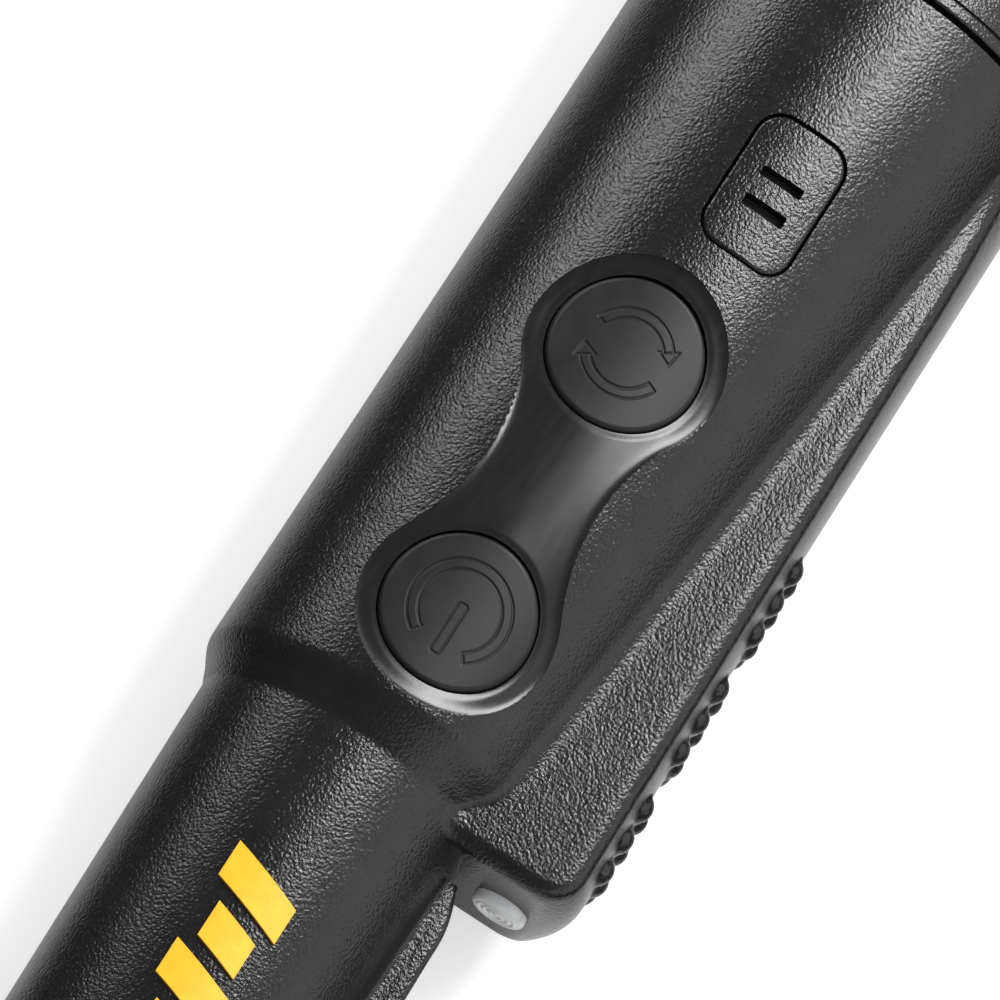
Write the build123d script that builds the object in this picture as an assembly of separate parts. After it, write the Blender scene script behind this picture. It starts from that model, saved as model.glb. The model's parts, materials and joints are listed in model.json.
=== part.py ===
from build123d import *
import math
import os

# Pinpointer probe, all sizes in millimetres.
# The origin is the centre of the battery cap's end face, on the handle's axis.
# +X runs to the probe's tip, +Y to the finger grip (the keel), +Z up through the buttons.

# ---- Driving dimensions -------------------------------------------------------------------
TOTAL_LENGTH = 232.0
GRIP_R = 20.0             # round rear of the handle, and the reach of the keel
BARREL_TAPER = 0.053      # radius lost per millimetre of length
CAP_END_X = 25.7          # mouth of the battery cap
SHELL_REAR_X = 26.35      # rear rim of the shells
NOSE_X = 110.8            # flat front face of the keel
NOSE_CORNER_R = 3.5
KEEL_EDGE_R = 1.2         # along the keel's long edges
CREASE_WIDTH = 2.8        # softness of the crease between barrel and keel
WALL = 2.2
PROBE_Y = -4.5            # the probe's axis lies off the handle's axis, away from the keel
PROBE_START_X = 108.5
PROBE_R = 13.8
PROBE_TAPER = 0.0213      # radius lost per millimetre of length
PROBE_WALL = 2.0
SMALL = 0.05              # assembly clearance between fixed pieces

BUMP_R = 1.6              # grip bumps on the keel, in groups of three rows
BUMP_SINK = 0.8           # how deep a bump's centre lies under the keel's face
BUMP_GROUP_X = 72.0
BUMP_GROUP_STEP = 12.85
BUMP_STEP = 3.35
BUMP_ROWS = (-4.0, 0.0, 4.0)

RIB_HALF = 4.0            # soil rib down the probe
RIB_TOP_Y = 11.2

KEY_Y = -3.05             # button centre line
RETUNE_X = 67.9
POWER_X = 95.3
KEY_R = 7.0
KEY_FOOT_Z = 12.6         # underside of a key
KEY_SINK = 0.35           # how far a key's face lies below the barrel's surface
KEY_HOLE_R = 7.3
KEY_STEM_R = 2.2
BEZEL_R = 9.0             # peanut-shaped dish round the keys
BEZEL_WAIST = 5.5
BEZEL_SINK = 0.5
POCKET_DEPTH = 1.6        # recess in the barrel for the dish and the speaker cover

SPEAKER_X = 48.7
SPEAKER_Y = 0.2
COVER_L = 13.4
COVER_W = 8.75
COVER_CORNER = 2.4
COVER_GAP = 0.3
SLOTS = ((-1.25, 1.0), (1.8, 1.2))    # place along the cover and width of each sound slot
SLOT_HALF_L = 2.1
SPEAKER_L = 15.0
SPEAKER_W = 11.0
SPEAKER_BACK_Z = 9.75
SPEAKER_FRONT_Z = 13.0
SPEAKER_RIM = 0.9
MAGNET_Z = 10.4
DIAPHRAGM_Z = 12.2
CLOTH_T = 0.2

BOARD_T = 1.6
PCB_Z = 5.0               # underside of the main board
PCB_TOP = PCB_Z + BOARD_T
SWITCH_TOP = PCB_TOP + 3.0
SWITCH_HALF = 3.0
PLUNGER_R = 1.55
STEM_END_Z = SWITCH_TOP + 0.8   # foot of a key's stem, resting on the switch plunger
SEAL_Z = 10.8             # rubber sheet under the keys
SEAL_T = 0.6
SEAL_R = 7.9
SEAL_WAIST = 4.7
SCREW_R = 0.9
SCREW_BOSS_R = 1.5

NECK_R = 17.2             # battery neck, under the thread
NECK_START_X = 12.2
THREAD_PITCH = 3.0
FLANGE_R = 18.6           # flange that the shells clamp
FLANGE_X = 27.05
SLEEVE_W = 28.2
SLEEVE_H = 19.2
SLEEVE_WALL = 0.6
SLEEVE_CORNER = 3.0
SLEEVE_START_X = 29.0
SLEEVE_END_X = 61.0

CAP_FLOOR_X = 5.2         # inside face of the cap's closed end
CAP_BORE_R = 18.3
CAP_EDGE_R = 1.5
CAP_RIBS = 12
CAP_RIB_R = 1.6
CAP_RIB_CENTRE_R = 19.7
CAP_RIB_SPAN = (7.0, 16.5)
RING_X = 23.8             # rubber ring in the cap's groove
RING_R = 18.0
LANYARD_X = 2.6           # hole for a cord, through a lug left in the cap's edge
LANYARD_Y = 16.2
LANYARD_R = 1.5
LUG_HALF = 2.0
LUG_FOOT_Y = 14.3
LUG_DEPTH = 4.4

BATTERY_X = 7.0
BATTERY_L = 48.5
BATTERY_W = 26.5
BATTERY_H = 17.5
BATTERY_END_X = BATTERY_X + BATTERY_L
TERMINAL_Y = 6.35
TERMINAL_L = 2.4
SNAP_L = 3.1

MOTOR_X = 72.0            # vibration motor in the keel
MOTOR_L = 12.0
MOTOR_R = 3.0
MOTOR_Y = 12.9
SHAFT_R = 0.5
SHAFT_END_X = 88.7
WEIGHT_X = 85.2

COIL_X = 148.0            # bobbin of the search coil
COIL_MID_X = 198.0
COIL_END_X = 220.0
FERRITE_R = 4.0
BOBBIN_R = 5.2
RIM_T = 2.0

LED_Y = 13.9
LED_R = 1.5
LED_X = 102.6             # base of the lamp's round part
LED_DOME_X = 106.6
LENS_R = 2.6
LENS_X = 108.5
LENS_FACE_X = 111.9


# ---- Helpers --------------------------------------------------------------------------------
def rod(radius, x0, x1, y=0.0, z=0.0):
    """A cylinder along X."""
    plane = Plane(origin=(x0, y, z), x_dir=(0, 1, 0), z_dir=(1, 0, 0))
    return extrude(plane * Circle(radius), x1 - x0)


def post(radius, x, y, z0, z1):
    """A cylinder along Z."""
    return extrude(Plane.XY.offset(z0) * Pos(x, y) * Circle(radius), z1 - z0)


def block(x0, x1, y0, y1, z0, z1):
    """A box given by its corners."""
    middle = ((x0 + x1) / 2, (y0 + y1) / 2, (z0 + z1) / 2)
    return Pos(*middle) * Box(x1 - x0, y1 - y0, z1 - z0)


def rounded_tube_x(width, height, corner, x0, x1):
    """A rounded rectangle, width along Y and height along Z, pushed along X."""
    plane = Plane(origin=(x0, 0, 0), x_dir=(0, 1, 0), z_dir=(1, 0, 0))
    return extrude(plane * RectangleRounded(width, height, corner), x1 - x0)


def wire_lead(points, leaves, arrives, radius=0.45):
    """An insulated wire through the given points, with its first and last directions."""
    path = Spline(*points, tangents=[leaves, arrives])
    section = Plane(origin=path @ 0, z_dir=path % 0) * Circle(radius)
    return sweep(section, path=path)


def write(node, shape):
    """Writes one node's solids."""
    export_step(shape, f"parts/{node}.step")


# ---- Outer form of the handle -------------------------------------------------------------
def smooth_step(value):
    value = min(1.0, max(0.0, value))
    return value * value * (3.0 - 2.0 * value)


def barrel_radius(x):
    """Barrel radius before the shoulder: a plain taper from the cap forwards."""
    return GRIP_R - BARREL_TAPER * (x - SHELL_REAR_X)


def keel_half_height(x):
    return 10.8 - 0.0195 * (x - SHELL_REAR_X)


def keel_face_radius(x):
    """The keel's outer face is round at the cap and gets flatter forwards."""
    return GRIP_R + 8.0 * smooth_step((x - SHELL_REAR_X) / 20.0)


def probe_radius(x):
    return PROBE_R - PROBE_TAPER * (x - PROBE_START_X)


def corner_loss(x, radius):
    """How far an edge of this radius has drawn in at x, towards the keel's front face."""
    into = x - (NOSE_X - radius)
    if into <= 0.0:
        return 0.0
    return radius - math.sqrt(max(0.0, radius * radius - into * into))


def handle_distance(x, y, z, inset):
    """Signed distance to the handle's section at x: a barrel softly joined to a keel."""
    full = barrel_radius(x)
    barrel_y = full - GRIP_R
    radius = full - 2.2 * smooth_step((x - 104.4) / 4.3) - inset
    barrel = math.hypot(y - barrel_y, z) - radius
    edge = KEEL_EDGE_R
    face_r = keel_face_radius(x)
    keel_r = face_r - corner_loss(x, NOSE_CORNER_R) - inset
    half = keel_half_height(x) - corner_loss(x, 1.5) - inset
    from_round = math.hypot(y - GRIP_R + face_r, z) - keel_r + edge
    from_flat = abs(z) - half + edge
    keel = min(max(from_round, from_flat), 0.0) - edge
    keel += math.hypot(max(from_round, 0.0), max(from_flat, 0.0))
    keel = max(keel, -y)
    soft = 0.02 + CREASE_WIDTH * (1.0 - math.exp((26.0 - x) / 14.0))
    soft *= 1.0 - 0.6 * smooth_step((x - 100.0) / 9.0)
    blend = max(soft - abs(barrel - keel), 0.0) / soft
    return min(barrel, keel) - blend * blend * soft / 4.0


def section_angles():
    """Ray angles round a section, closer together at the keel's edges and creases."""
    half = [0.0, 8.0, 15.0]
    half += [21.0 + 2.25 * i for i in range(17)]
    half += [66.0 + 11.0 * i for i in range(10)]
    return half + [180.0] + [360.0 - a for a in reversed(half[1:])]


def handle_section(x, inset=0.0):
    """The closed outline of the handle at x, drawn inwards by inset."""
    points = []
    for angle in section_angles():
        c = math.cos(math.radians(angle))
        s = math.sin(math.radians(angle))
        near, far = 3.0, 24.0
        for _ in range(40):
            middle = (near + far) / 2
            if handle_distance(x, middle * c, middle * s, inset) > 0:
                far = middle
            else:
                near = middle
        points.append((x, near * c, near * s))
    return Wire([Edge.make_spline([Vector(*p) for p in points], periodic=True)])


def handle_solid(stations, inset=0.0):
    return Solid.make_loft([handle_section(x, inset) for x in stations])


OUTER_STATIONS = [SHELL_REAR_X, 31, 37, 45, 55, 66, 78, 88, 95, 100, 103, 104.8, 106.1, 107.3,
                  108.4, 109.4, 110.2, 110.65, NOSE_X]
INNER_STATIONS = [29.45, 36, 45, 55, 66, 78, 88, 95, 100, 103, 105, 106.8, 108.4]


def probe_profile(offset, start_x, end_x, nose_r):
    """Half profile of the round probe, turned about its own axis."""
    r0 = probe_radius(start_x) + offset
    r1 = probe_radius(end_x - nose_r) + offset
    tip_flat = r1 - nose_r
    lines = [
        Line((start_x, 0), (start_x, r0)),
        Line((start_x, r0), (end_x - nose_r, r1)),
        TangentArc((end_x - nose_r, r1), (end_x, tip_flat), tangent=(1, -PROBE_TAPER)),
        Line((end_x, tip_flat), (end_x, 0)),
        Line((end_x, 0), (start_x, 0)),
    ]
    return make_face(Curve() + lines)


def probe_solid(offset, start_x, end_x, nose_r):
    turned = revolve(probe_profile(offset, start_x, end_x, nose_r), Axis.X)
    return Pos(0, PROBE_Y, 0) * turned


def scraping_rib():
    """The straight rib down the keel side of the probe, used to rake soil."""
    outline = [(112.6, 4.0), (113.0, 9.9), (118.0, 11.05), (124.0, RIB_TOP_Y), (222.0, RIB_TOP_Y),
               (228.0, 6.0), (228.0, 2.0), (150.0, 2.0)]
    side = Plane.XY.offset(-RIB_HALF) * make_face(Polyline(*outline, close=True))
    rib = extrude(side, 2 * RIB_HALF)
    long_edges = [e for e in rib.edges() if abs(e.center().Y - RIB_TOP_Y) < 0.2 and e.length > 50]
    return fillet(long_edges, 0.7)


def finger_bumps():
    """Three groups of small round bumps on the keel, for grip."""
    bumps = []
    for group in range(3):
        for i in range(3):
            for z in BUMP_ROWS:
                x = BUMP_GROUP_X + BUMP_GROUP_STEP * group + BUMP_STEP * i
                face_r = keel_face_radius(x)
                y = math.sqrt((face_r - BUMP_SINK) ** 2 - z * z) + GRIP_R - face_r
                bumps.append(Pos(x, y, z) * Sphere(BUMP_R))
    return bumps


def key_outline(key_r, waist):
    """A peanut shape: two rounds about the buttons joined by a concave waist."""
    half_gap = (POWER_X - RETUNE_X) / 2
    # A waist circle outside the shape touches both rounds and passes at waist from the axis.
    bow = (half_gap ** 2 + waist ** 2 - key_r ** 2) / (2 * (key_r - waist))
    centre = waist + bow
    reach = math.hypot(half_gap, centre)
    tx = half_gap * key_r / reach
    ty = centre * key_r / reach
    left_x, right_x = -half_gap, half_gap
    arcs = [
        ThreePointArc((left_x + tx, ty), (left_x - key_r, 0), (left_x + tx, -ty)),
        ThreePointArc((left_x + tx, -ty), (0, -waist), (right_x - tx, -ty)),
        ThreePointArc((right_x - tx, -ty), (right_x + key_r, 0), (right_x - tx, ty)),
        ThreePointArc((right_x - tx, ty), (0, waist), (left_x + tx, ty)),
    ]
    return Pos((POWER_X + RETUNE_X) / 2, KEY_Y) * make_face(Curve() + arcs)


def key_prism(key_r, waist, z0, z1):
    return extrude(Plane.XY.offset(z0) * key_outline(key_r, waist), z1 - z0)


def cover_prism(grow, z0, z1):
    """The speaker cover's outline, grown on every side and pushed up."""
    rectangle = RectangleRounded(COVER_L + 2 * grow, COVER_W + 2 * grow, COVER_CORNER + grow)
    return extrude(Plane.XY.offset(z0) * Pos(SPEAKER_X, SPEAKER_Y) * rectangle, z1 - z0)


def speaker_block(margin, z0, z1):
    """A box over the speaker, this much larger than it on each side."""
    half_l = SPEAKER_L / 2 + margin
    half_w = SPEAKER_W / 2 + margin
    return block(SPEAKER_X - half_l, SPEAKER_X + half_l, SPEAKER_Y - half_w, SPEAKER_Y + half_w, z0, z1)


# ---- Thread of the battery neck and the cap -----------------------------------------------
def thread_ridge(root_r, crest_r, x0, turns, root_w, crest_w):
    """A right-handed helical ridge about X."""
    middle_r = (root_r + crest_r) / 2
    helix = Helix(THREAD_PITCH, THREAD_PITCH * turns, middle_r)
    depth = (crest_r - root_r) / 2
    start = helix @ 0
    plane = Plane(origin=start, x_dir=(1, 0, 0), z_dir=helix % 0)
    profile = plane * make_face(Polyline(
        (-depth, -root_w / 2), (depth, -crest_w / 2), (depth, crest_w / 2), (-depth, root_w / 2), close=True))
    ridge = sweep(profile, path=helix, is_frenet=True)
    return Pos(x0, 0, 0) * Rot(0, 90, 0) * ridge


# ---- Shells -----------------------------------------------------------------------------------
def screw_places():
    return [((RETUNE_X + POWER_X) / 2, y) for y in (-9.8, 3.5)]


def shell_body():
    """Both shells as one hollow form, before it is split at z = 0."""
    outer_handle = handle_solid(OUTER_STATIONS)
    outer = outer_handle + probe_solid(0.0, 101.0, TOTAL_LENGTH, 8.0) + scraping_rib()
    outer += finger_bumps()
    hollow = handle_solid(INNER_STATIONS, WALL)
    hollow += probe_solid(-PROBE_WALL, 101.5, TOTAL_LENGTH - 3.5, 6.0)
    hollow += rounded_tube_x(SLEEVE_W + 2 * SMALL, SLEEVE_H + 2 * SMALL, SLEEVE_CORNER,
                             SLEEVE_START_X, SLEEVE_END_X + SMALL)
    hollow += rod(FLANGE_R + 2 * SMALL, FLANGE_X - SMALL, INNER_STATIONS[0])
    hollow += rod(NECK_R + SMALL, SHELL_REAR_X - 1, FLANGE_X + 1)
    hollow += rod(LENS_R + SMALL, LENS_X - 0.5, NOSE_X + 1, y=LED_Y)
    hollow += key_prism(SEAL_R + 2 * SMALL, SEAL_WAIST + 2 * SMALL, 8.0, SEAL_Z + SEAL_T + SMALL)
    for x in (RETUNE_X, POWER_X):
        hollow += post(KEY_HOLE_R, x, KEY_Y, SEAL_Z, GRIP_R)
    hollow += speaker_block(2 * SMALL, 9.0, SPEAKER_FRONT_Z + SMALL)
    hollow += speaker_block(-2.8, DIAPHRAGM_Z, GRIP_R)
    shell = outer - hollow
    lowered = sunk(outer_handle, POCKET_DEPTH)
    shell -= key_prism(BEZEL_R + SMALL, BEZEL_WAIST + SMALL, 8.0, GRIP_R) - lowered
    shell -= cover_prism(COVER_GAP, 10.0, GRIP_R) - lowered
    return shell, outer_handle, lowered


def upper_shell(shell):
    upper = shell & block(0, TOTAL_LENGTH + 1, -30, 30, 0, 30)
    for x, y in screw_places():
        upper += post(SCREW_BOSS_R, x, y, PCB_TOP, 13.5) - post(SCREW_R + SMALL, x, y, PCB_Z, 11.5)
    return upper


def lower_shell(shell):
    lower = shell & block(0, TOTAL_LENGTH + 1, -30, 30, -30, 0)
    cradle = block(MOTOR_X - 1, MOTOR_X + MOTOR_L - 1, MOTOR_Y - 3.5, MOTOR_Y + 3.5, -8.5, 0.0)
    return lower + cradle - rod(MOTOR_R, MOTOR_X - 2, MOTOR_X + MOTOR_L, y=MOTOR_Y)


def speaker_cover(outer_handle, lowered):
    """The slotted cover over the speaker; it rests on the speaker's cloth."""
    cover = (cover_prism(0.0, 10.0, GRIP_R) & outer_handle) - Pos(0, 0, CLOTH_T) * lowered
    for offset, width in SLOTS:
        x = SPEAKER_X + offset
        cover -= block(x - width / 2, x + width / 2,
                       SPEAKER_Y - SLOT_HALF_L, SPEAKER_Y + SLOT_HALF_L, 10.0, GRIP_R)
    return cover


def speaker_mesh(lowered):
    """Thin cloth between the cover and its pocket."""
    return (cover_prism(-1.0, 10.0, GRIP_R) & (Pos(0, 0, CLOTH_T) * lowered)) - lowered


def button_bezel(outer_handle, lowered):
    """Smooth dish between the barrel and the keys."""
    bezel = (key_prism(BEZEL_R, BEZEL_WAIST, 8.0, GRIP_R) & sunk(outer_handle, BEZEL_SINK)) - lowered
    for x in (RETUNE_X, POWER_X):
        bezel -= post(KEY_HOLE_R, x, KEY_Y, 8.0, GRIP_R)
    return bezel


def depth_marks():
    """Raised slanted bars, long every 10 mm and short between them."""
    first_x, step, count = 125.4, 5.0, 17
    width, long_half, short_half = 3.5, 3.6, 2.3
    slant = 0.35
    raised = probe_solid(0.4, first_x - 8, first_x + step * count + 5, 1.0)
    skin = raised - probe_solid(0.0, first_x - 9, first_x + step * count + 6, 1.0)
    marks = []
    for i in range(count):
        half = long_half if i % 2 == 0 else short_half
        x = first_x + step * i
        lean = slant * half
        outline = Polyline((x - width / 2 - lean, PROBE_Y - half), (x + width / 2 - lean, PROBE_Y - half),
                           (x + width / 2 + lean, PROBE_Y + half), (x - width / 2 + lean, PROBE_Y + half),
                           close=True)
        marks.append(skin & extrude(Plane.XY.offset(5.0) * make_face(outline), 12.0))
    return Compound(children=[solid for mark in marks for solid in mark.solids()])


# ---- Buttons ----------------------------------------------------------------------------------
def sunk(outer_handle, depth):
    """The handle's outer form, sunk by depth: its top is what follows the barrel's curve."""
    return Pos(0, 0, -depth) * outer_handle


def button(x, outer_handle):
    """A round rubber key, curved with the barrel, with a short stem that pushes the switch."""
    key = post(KEY_R, x, KEY_Y, KEY_FOOT_Z, GRIP_R) & sunk(outer_handle, KEY_SINK)
    return key + post(KEY_STEM_R, x, KEY_Y, STEM_END_Z, KEY_FOOT_Z + 0.1)


def engraved(sign, x, outer_handle):
    """The shallow grooves of a sign on the key at x."""
    cutter = extrude(Plane.XY.offset(KEY_FOOT_Z) * Pos(x, KEY_Y) * sign, 7.0)
    return cutter - sunk(outer_handle, KEY_SINK + 0.2)


def ring_lines(radius, half_width, line=0.2):
    """Two thin circles: the outline of a ring of this middle radius."""
    outside = Circle(radius + half_width) - Circle(radius + half_width - line)
    return outside + (Circle(radius - half_width + line) - Circle(radius - half_width))


def power_button(outer_handle):
    """The power sign is a broken ring and a bar, engraved as outlines."""
    gap = Pos(4.0, 0) * Rectangle(5.0, 4.6)
    bar = Pos(2.7, 0) * (Rectangle(5.4, 0.9) - Rectangle(5.0, 0.5))
    sign = ring_lines(4.22, 0.47) - gap + bar
    return button(POWER_X, outer_handle) - engraved(sign, POWER_X, outer_handle)


def retune_button(outer_handle):
    """The retune sign is two arcs with arrow heads that chase each other."""
    radius, turned, head_turned = 3.65, 95.5, 121.0
    sign = ring_lines(radius, 0.45) - Rectangle(12.0, 3.4, rotation=turned)
    for half_turn in (0, 180):
        head = make_face(Polyline((-0.9, 0.1), (0.9, 0.1), (0.0, -1.0), close=True))
        sign += Rot(0, 0, half_turn + head_turned) * Pos(radius, 0) * head
    return button(RETUNE_X, outer_handle) - engraved(sign, RETUNE_X, outer_handle)


def keypad_seal():
    """Rubber sheet under both buttons, with a hole for each stem."""
    top = SEAL_Z + SEAL_T
    sheet = key_prism(SEAL_R, SEAL_WAIST, SEAL_Z, top)
    for x in (RETUNE_X, POWER_X):
        sheet -= post(KEY_STEM_R + SMALL, x, KEY_Y, SEAL_Z - 1, top + 1)
    for x, y in screw_places():
        sheet -= post(SCREW_BOSS_R + 2 * SMALL, x, y, SEAL_Z - 1, top + 1)
    return sheet


def switch_base(x):
    base = block(x - SWITCH_HALF, x + SWITCH_HALF, KEY_Y - SWITCH_HALF, KEY_Y + SWITCH_HALF,
                 PCB_TOP, SWITCH_TOP)
    return base - post(PLUNGER_R + SMALL, x, KEY_Y, SWITCH_TOP - 1.8, SWITCH_TOP + 1)


def switch_plunger(x):
    return post(PLUNGER_R, x, KEY_Y, SWITCH_TOP - 1.1, STEM_END_Z)


# ---- Battery compartment ------------------------------------------------------------------
def battery_sleeve():
    """One piece: threaded neck, capture flange and a rectangular tunnel."""
    sleeve = rod(NECK_R, NECK_START_X, SLEEVE_START_X) + rod(FLANGE_R, FLANGE_X, SLEEVE_START_X + 0.4)
    sleeve += rounded_tube_x(SLEEVE_W, SLEEVE_H, SLEEVE_CORNER, SLEEVE_START_X, SLEEVE_END_X)
    sleeve -= rounded_tube_x(SLEEVE_W - 2 * SLEEVE_WALL, SLEEVE_H - 2 * SLEEVE_WALL,
                             SLEEVE_CORNER - SLEEVE_WALL, NECK_START_X - 0.2, SLEEVE_END_X + 1)
    return sleeve + thread_ridge(NECK_R - 0.3, 18.0, NECK_START_X + 1.4, 1.4, 1.3, 0.7)


def cap_rib(angle):
    """One grip rib on the cap, with rounded ends."""
    y = CAP_RIB_CENTRE_R * math.cos(angle)
    z = CAP_RIB_CENTRE_R * math.sin(angle)
    start, end = CAP_RIB_SPAN
    ends = Pos(start, y, z) * Sphere(CAP_RIB_R) + Pos(end, y, z) * Sphere(CAP_RIB_R)
    return rod(CAP_RIB_R, start, end, y, z) + ends


def battery_cap():
    """Screw cap: closed end, outer grip ribs, inner thread, a ring groove and a lug for a cord."""
    cap = rod(GRIP_R, 0.0, CAP_END_X)
    rear_edge = cap.edges().filter_by(GeomType.CIRCLE).sort_by(Axis.X)[0]
    cap = fillet(rear_edge, CAP_EDGE_R)
    for k in range(CAP_RIBS):
        cap += cap_rib(math.radians(-75.0 + 360.0 / CAP_RIBS * k))
    cap -= rod(CAP_BORE_R, CAP_FLOOR_X, CAP_END_X + 1)
    cap -= rod(RING_R + 0.8, RING_X - 0.8, RING_X + 0.8)
    cap -= rod(GRIP_R + 1, 24.4, 24.65) - rod(GRIP_R - 0.3, 24.0, 25.0)
    beside_lug = block(-1.0, LUG_DEPTH, LUG_FOOT_Y, GRIP_R + 2, -GRIP_R, GRIP_R)
    beside_lug -= block(-2.0, LUG_DEPTH + 1, LUG_FOOT_Y - 1, GRIP_R + 3, -LUG_HALF, LUG_HALF)
    cap -= beside_lug
    cap -= post(LANYARD_R, LANYARD_X, LANYARD_Y, -LUG_HALF - 1, LUG_HALF + 1)
    return cap + thread_ridge(17.4, CAP_BORE_R + 0.2, 15.1, 1.2, 0.7, 1.3)


def battery_terminals():
    """A small and a large snap on the battery's front face."""
    x = BATTERY_END_X
    small_snap = rod(2.8, x, x + TERMINAL_L, y=-TERMINAL_Y)
    large_snap = rod(3.4, x, x + TERMINAL_L, y=TERMINAL_Y) - rod(2.6, x + 0.6, x + 3, y=TERMINAL_Y)
    return Compound(children=[small_snap, large_snap])


def contact_snaps():
    """The matching socket and stud on the contact board."""
    x = BATTERY_END_X
    socket = rod(3.6, x + 0.2, x + SNAP_L, y=-TERMINAL_Y)
    socket -= rod(2.8 + SMALL, x, x + TERMINAL_L + SMALL, y=-TERMINAL_Y)
    stud = rod(2.5, x + 0.7, x + SNAP_L, y=TERMINAL_Y)
    return Compound(children=[socket, stud])


# ---- Everything else inside ---------------------------------------------------------------
def main_pcb():
    """The main board, held up against the upper shell's bosses."""
    board = block(62.0, 103.0, -11.2, 5.0, PCB_Z, PCB_TOP)
    for x, y in screw_places():
        board -= post(SCREW_R + 0.15, x, y, PCB_Z - 1, PCB_TOP + 1)
    return board


def pcb_screws():
    screws = []
    for x, y in screw_places():
        slot = block(x - 1.5, x + 1.5, y - 0.2, y + 0.2, PCB_Z - 2, PCB_Z - 0.7)
        head = post(2 * SCREW_R + 0.1, x, y, PCB_Z - 1.2, PCB_Z) - slot
        screws.append(head + post(SCREW_R, x, y, PCB_Z - 0.1, 11.2))
    return Compound(children=screws)


def pcb_chips():
    low = PCB_Z - 1.5
    corners_and_sizes = [(70.0, -3.0, 5.0, 4.0), (88.0, -8.5, 4.0, 4.9), (97.5, -10.6, 4.9, 3.9)]
    chips = [block(x, x + length, y, y + width, low, PCB_Z) for x, y, length, width in corners_and_sizes]
    return Compound(children=chips)


def pcb_capacitors():
    return Compound(children=[post(2.5, x, -1.0, PCB_Z - 6.0, PCB_Z) for x in (86.0, 93.5)])


def pcb_passives():
    """Two rows of small resistors and capacitors."""
    parts = []
    for first_x, y in ((64.0, -9.5), (86.0, 1.6)):
        for i in range(5):
            x = first_x + 2.6 * i
            parts.append(block(x, x + 1.6, y, y + 0.8, PCB_Z - 0.6, PCB_Z))
    return Compound(children=parts)


def speaker_frame():
    frame = speaker_block(0.0, SPEAKER_BACK_Z, SPEAKER_FRONT_Z)
    return frame - speaker_block(-SPEAKER_RIM, MAGNET_Z, SPEAKER_FRONT_Z + 1)


def speaker_diaphragm():
    """A thin sheet with a shallow dome."""
    sheet = speaker_block(-SPEAKER_RIM, DIAPHRAGM_Z, DIAPHRAGM_Z + 0.3)
    ball = Pos(SPEAKER_X, SPEAKER_Y, 9.3) * Sphere(4.0)
    return sheet + (ball & speaker_block(0.0, DIAPHRAGM_Z + 0.2, SPEAKER_FRONT_Z + 1))


def speaker_magnet():
    return speaker_block(-3.0, MAGNET_Z, DIAPHRAGM_Z - 0.2)


def motor_can():
    can = rod(MOTOR_R, MOTOR_X, MOTOR_X + MOTOR_L, y=MOTOR_Y)
    return can - rod(SHAFT_R + 0.06, MOTOR_X + 0.5, MOTOR_X + MOTOR_L + 1, y=MOTOR_Y)


def motor_shaft():
    return rod(SHAFT_R, MOTOR_X + 1, SHAFT_END_X, y=MOTOR_Y)


def motor_weight():
    """Half disc fixed off centre on the motor shaft."""
    disc = rod(MOTOR_R - 0.3, WEIGHT_X, SHAFT_END_X, y=MOTOR_Y)
    disc -= block(WEIGHT_X - 1, SHAFT_END_X + 1, MOTOR_Y - 4, MOTOR_Y - 0.8, -4, 4)
    return disc - rod(SHAFT_R + 0.02, WEIGHT_X - 1, SHAFT_END_X + 1, y=MOTOR_Y)


def coil_bobbin():
    """Tube with three rims that centre it in the probe."""
    tube = rod(BOBBIN_R, COIL_X, COIL_END_X, y=PROBE_Y)
    for x in (COIL_X, COIL_MID_X, COIL_END_X - RIM_T):
        rim_r = probe_radius(x + RIM_T) - PROBE_WALL - SMALL
        tube += rod(rim_r, x, x + RIM_T, y=PROBE_Y)
    return tube - rod(FERRITE_R + SMALL, COIL_X - 1, COIL_END_X + 1, y=PROBE_Y)


def winding(radius, x0, x1):
    return rod(radius, x0, x1, y=PROBE_Y) - rod(BOBBIN_R, x0, x1, y=PROBE_Y)


def led_body():
    lamp = rod(LED_R, LED_X, LED_DOME_X, y=LED_Y) + rod(LED_R + 0.4, LED_X - 0.8, LED_X + 0.2, y=LED_Y)
    return lamp + Pos(LED_DOME_X, LED_Y, 0) * Sphere(LED_R)


def led_holder():
    holder = rod(LENS_R + 0.3, LED_X + 0.2, LENS_X - 0.1, y=LED_Y)
    return holder - rod(LED_R + SMALL, LED_X - 1, LENS_X + 1, y=LED_Y)


def led_lens():
    """Clear window: a short plug with a rounded face."""
    plug = rod(LENS_R, LENS_X, LENS_FACE_X, y=LED_Y)
    return fillet(plug.edges().filter_by(GeomType.CIRCLE).sort_by(Axis.X)[-1], 0.5)


def leads_pair(points, leaves, arrives, gap):
    """Two wires side by side, gap apart in Y."""
    return Compound(children=[
        wire_lead([(x, y + side * gap / 2, z) for x, y, z in points], leaves, arrives)
        for side in (-1, 1)])


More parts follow.
